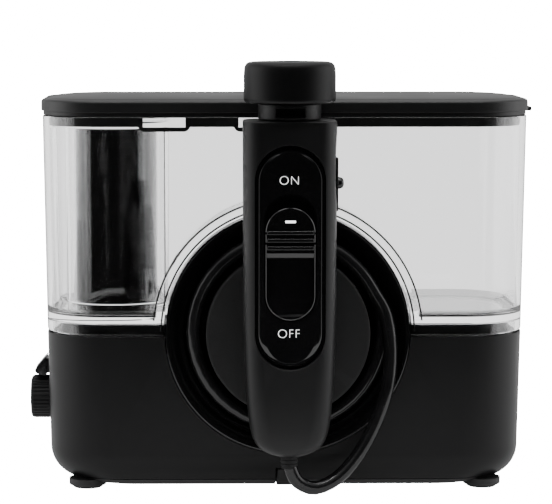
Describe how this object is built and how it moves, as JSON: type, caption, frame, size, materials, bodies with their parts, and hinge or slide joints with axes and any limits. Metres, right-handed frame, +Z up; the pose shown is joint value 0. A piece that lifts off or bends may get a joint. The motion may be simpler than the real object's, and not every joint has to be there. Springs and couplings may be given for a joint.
{
  "type": "water flosser",
  "caption": "Countertop water flosser with a clear reservoir, hinged lid, docked handle and a hose wound on a round hub.",
  "frame": {"origin": "centre of the bounding box's underside, on the table the feet stand on", "axes": "+X to the right seen from the front, +Y to the back, +Z up"},
  "size_m": [0.197, 0.1168, 0.1646],
  "materials": {
    "black_satin": "satin",
    "black_matte": "matte",
    "black_gloss": "gloss",
    "clear_smoke": "clear gloss",
    "rubber": "matte",
    "steel": "brushed",
    "white_plastic": "satin",
    "board": "satin"
  },
  "bodies": {
    "base": {"base_shell": "black_satin", "bottom_plate": "black_matte", "foot_front_left": "rubber", "foot_front_right": "rubber", "foot_rear_left": "rubber", "foot_rear_right": "rubber", "hose_guide": "black_matte", "hose_bay": "black_gloss", "hose_gland": "rubber", "hub_dock": "black_matte", "dock_magnet": "steel", "magnet_holder": "black_matte", "hose_coil": "rubber", "hose_tail": "rubber", "inlet_nipple": "black_matte", "pressure_valve": "black_matte", "power_switch": "black_matte", "control_board": "board", "battery_cell_1": "steel", "battery_cell_2": "steel", "battery_cradle": "black_matte", "charge_socket": "black_matte", "pump_motor": "steel", "pump_bracket": "steel", "gear_axle": "steel", "pump_cylinder": "black_matte", "inlet_check_valve": "white_plastic", "outlet_check_valve": "white_plastic", "outlet_tube": "rubber", "hose_feed_tube": "rubber"},
    "reservoir": {"reservoir": "clear_smoke", "reservoir_valve": "rubber", "lid_hinge_pin": "steel"},
    "lid": {"lid": "black_satin"},
    "tip_case": {"tip_case": "black_matte", "jet_tip_1": "white_plastic", "jet_tip_2": "white_plastic", "jet_tip_3": "white_plastic", "jet_tip_4": "white_plastic"},
    "handle": {"handle_front": "black_satin", "handle_back": "black_satin", "steel_dock_plate": "steel", "control_panel": "black_gloss", "handle_valve_block": "black_matte", "handle_lower_tube": "rubber", "handle_upper_tube": "rubber", "hose_strain_relief": "rubber", "neck_collar": "black_satin", "eject_bezel": "black_matte"},
    "tip_rotator": {"tip_rotator_knob": "black_satin", "tip_socket": "white_plastic"},
    "slide_switch": {"slide_switch": "black_gloss", "valve_spool": "steel"},
    "eject_button": {"eject_button": "black_gloss"},
    "power_button": {"power_button": "black_gloss"},
    "pressure_dial": {"pressure_dial": "black_matte"},
    "motor_pinion": {"motor_pinion": "white_plastic"},
    "drive_gear": {"drive_gear": "white_plastic"},
    "piston": {"pump_piston": "white_plastic", "connecting_rod": "steel"}
  },
  "joints": [
    {"name": "reservoir_lift", "type": "slide", "parent": "base", "child": "reservoir", "axis": [0, 0, 1], "range_m": [0, 0.06]},
    {"name": "lid_hinge", "type": "hinge", "parent": "reservoir", "child": "lid", "pos_m": [0, 0.05613, 0.1447], "axis": [-1, 0, 0], "range_deg": [0, 105]},
    {"name": "tip_case_draw", "type": "slide", "parent": "reservoir", "child": "tip_case", "axis": [0, 1, 0], "range_m": [0, 0.035]},
    {"name": "handle_undock", "type": "slide", "parent": "base", "child": "handle", "axis": [0, -1, 0], "range_m": [0, 0.04]},
    {"name": "tip_rotation", "type": "hinge", "parent": "handle", "child": "tip_rotator", "pos_m": [0.00134, -0.04142, 0.157], "axis": [0, 0, 1], "continuous": true},
    {"name": "switch_slide", "type": "slide", "parent": "handle", "child": "slide_switch", "axis": [0, 0, 1], "range_m": [0, 0.0044]},
    {"name": "eject_press", "type": "slide", "parent": "handle", "child": "eject_button", "axis": [-1, 0, 0], "range_m": [0, 0.001], "stiffness_N_per_m": 400},
    {"name": "power_press", "type": "slide", "parent": "base", "child": "power_button", "axis": [1, 0, 0], "range_m": [0, 0.0012], "stiffness_N_per_m": 400},
    {"name": "dial_turn", "type": "hinge", "parent": "base", "child": "pressure_dial", "pos_m": [-0.088, 0.01457, 0.0315], "axis": [1, 0, 0], "range_deg": [0, 270]},
    {"name": "gear_spin", "type": "hinge", "parent": "base", "child": "drive_gear", "pos_m": [0.0732, 0.03058, 0.04015], "axis": [1, 0, 0], "continuous": true},
    {"name": "pinion_spin", "type": "hinge", "parent": "base", "child": "motor_pinion", "pos_m": [0.0732, 0.03058, 0.02], "axis": [1, 0, 0], "continuous": true},
    {"name": "piston_stroke", "type": "slide", "parent": "base", "child": "piston", "axis": [0, 1, 0], "range_m": [-0.004, 0.004]}
  ],
  "couplings": [
    {"joint": "pinion_spin", "follows": "gear_spin", "ratio": -3}
  ]
}
